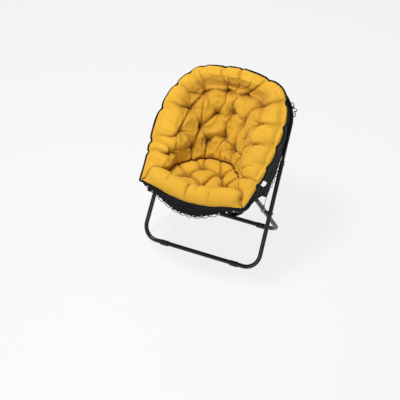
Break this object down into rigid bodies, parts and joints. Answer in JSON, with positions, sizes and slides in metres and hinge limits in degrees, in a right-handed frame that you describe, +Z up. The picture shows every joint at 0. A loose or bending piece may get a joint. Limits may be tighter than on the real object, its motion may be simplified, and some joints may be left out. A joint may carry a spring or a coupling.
{
  "type": "folding camping chair",
  "caption": "Folding X-frame lounge chair with a tufted padded bucket seat, laced black cover, bent steel tube legs and hoops, and plastic floor glides.",
  "frame": {"origin": "floor level, in the middle of the chair's footprint box", "axes": "+X to the sitter's left, which is the right side of the picture; -Y the way the chair faces; +Z up"},
  "size_m": [0.6742, 0.6893, 0.8126],
  "materials": {
    "leg_tube": "charcoal satin powder coat",
    "hoop_tube": "charcoal satin powder coat",
    "black_plastic": "fine matt",
    "dark_steel": "blackened zinc",
    "eyelet_metal": "satin nickel",
    "cushion_fabric": "fine soft woven cotton, mustard yellow",
    "cover_fabric": "coated plain-weave polyester",
    "cord": "braided elastic",
    "piping": "bias tape",
    "clip_plastic": "light grey",
    "tab_cloth": "plain white ribbon"
  },
  "bodies": {
    "front_frame_and_back": {"front_leg_frame": "leg_tube", "back_hoop": "hoop_tube", "back_bush_right": "black_plastic", "back_bush_left": "black_plastic", "back_hoop_screws": "dark_steel", "front_glide_right": "black_plastic", "front_glide_left": "black_plastic", "pivot_bolt_right": "dark_steel", "pivot_bolt_left": "dark_steel", "pivot_spacer_right": "black_plastic", "pivot_spacer_left": "black_plastic", "pivot_nut_right": "dark_steel", "pivot_nut_left": "dark_steel", "back_cushion": "cushion_fabric", "back_cover": "cover_fabric", "side_wing_right": "cushion_fabric", "side_wing_left": "cushion_fabric", "side_cover_right": "cover_fabric", "side_cover_left": "cover_fabric", "side_eyelets": "eyelet_metal", "side_lacing": "cord", "back_lacing": "cord", "rim_piping": "piping", "right_tie_cord": "cord", "left_tie_cord": "cord", "blank_tab": "tab_cloth"},
    "rear_frame_and_seat": {"rear_leg_frame": "leg_tube", "seat_hoop": "hoop_tube", "seat_bush_right": "black_plastic", "seat_bush_left": "black_plastic", "seat_hoop_screws": "dark_steel", "rear_glide_right": "black_plastic", "rear_glide_left": "black_plastic", "leg_clip_right": "clip_plastic", "leg_clip_left": "clip_plastic", "corner_strap_right": "cord", "corner_strap_left": "cord", "seat_cushion": "cushion_fabric", "seat_sling": "cover_fabric", "front_skirt": "cover_fabric", "front_eyelets": "eyelet_metal", "front_lacing": "cord"}
  },
  "joints": [
    {"name": "fold", "type": "hinge", "parent": "front_frame_and_back", "child": "rear_frame_and_seat", "pos_m": [0, -0.02692, 0.2552], "axis": [-1, 0, 0], "range_deg": [0, 58], "deforming": ["side_wing_right", "side_wing_left", "side_cover_right", "side_cover_left", "side_eyelets", "side_lacing", "rim_piping", "left_tie_cord", "blank_tab"]}
  ]
}
